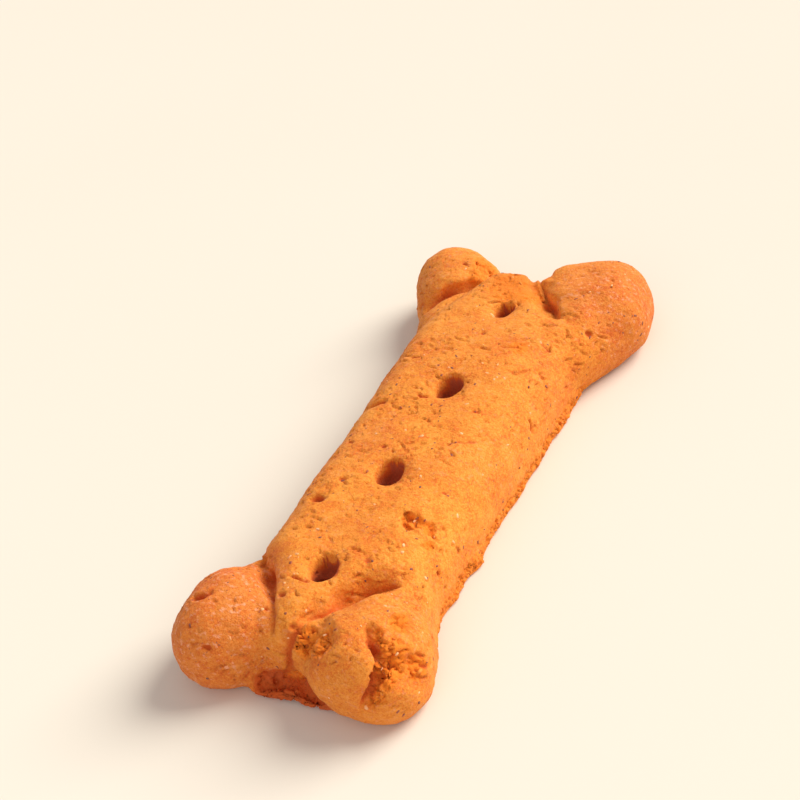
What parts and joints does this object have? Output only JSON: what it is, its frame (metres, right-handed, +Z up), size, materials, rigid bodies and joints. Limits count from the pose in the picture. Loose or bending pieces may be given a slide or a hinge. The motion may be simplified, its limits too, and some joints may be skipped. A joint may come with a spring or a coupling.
{
  "type": "dog biscuit",
  "caption": "Baked bone-shaped dog biscuit: a crowned shaft with knobs at each end, pressed creases, docking holes and a craggy broken crust.",
  "frame": {"origin": "middle of the bounding box on the flat base that the biscuit lies on", "axes": "+Y along the bone, towards the end whose notch is shallow, +X across it, +Z up out of the face with the docking holes"},
  "size_m": [0.0304, 0.068, 0.0093],
  "materials": {
    "crust": "matt baked dough, orange, browner on the knobs, with dark bran flecks"
  },
  "bodies": {
    "root": {"biscuit": "crust"}
  },
  "joints": []
}
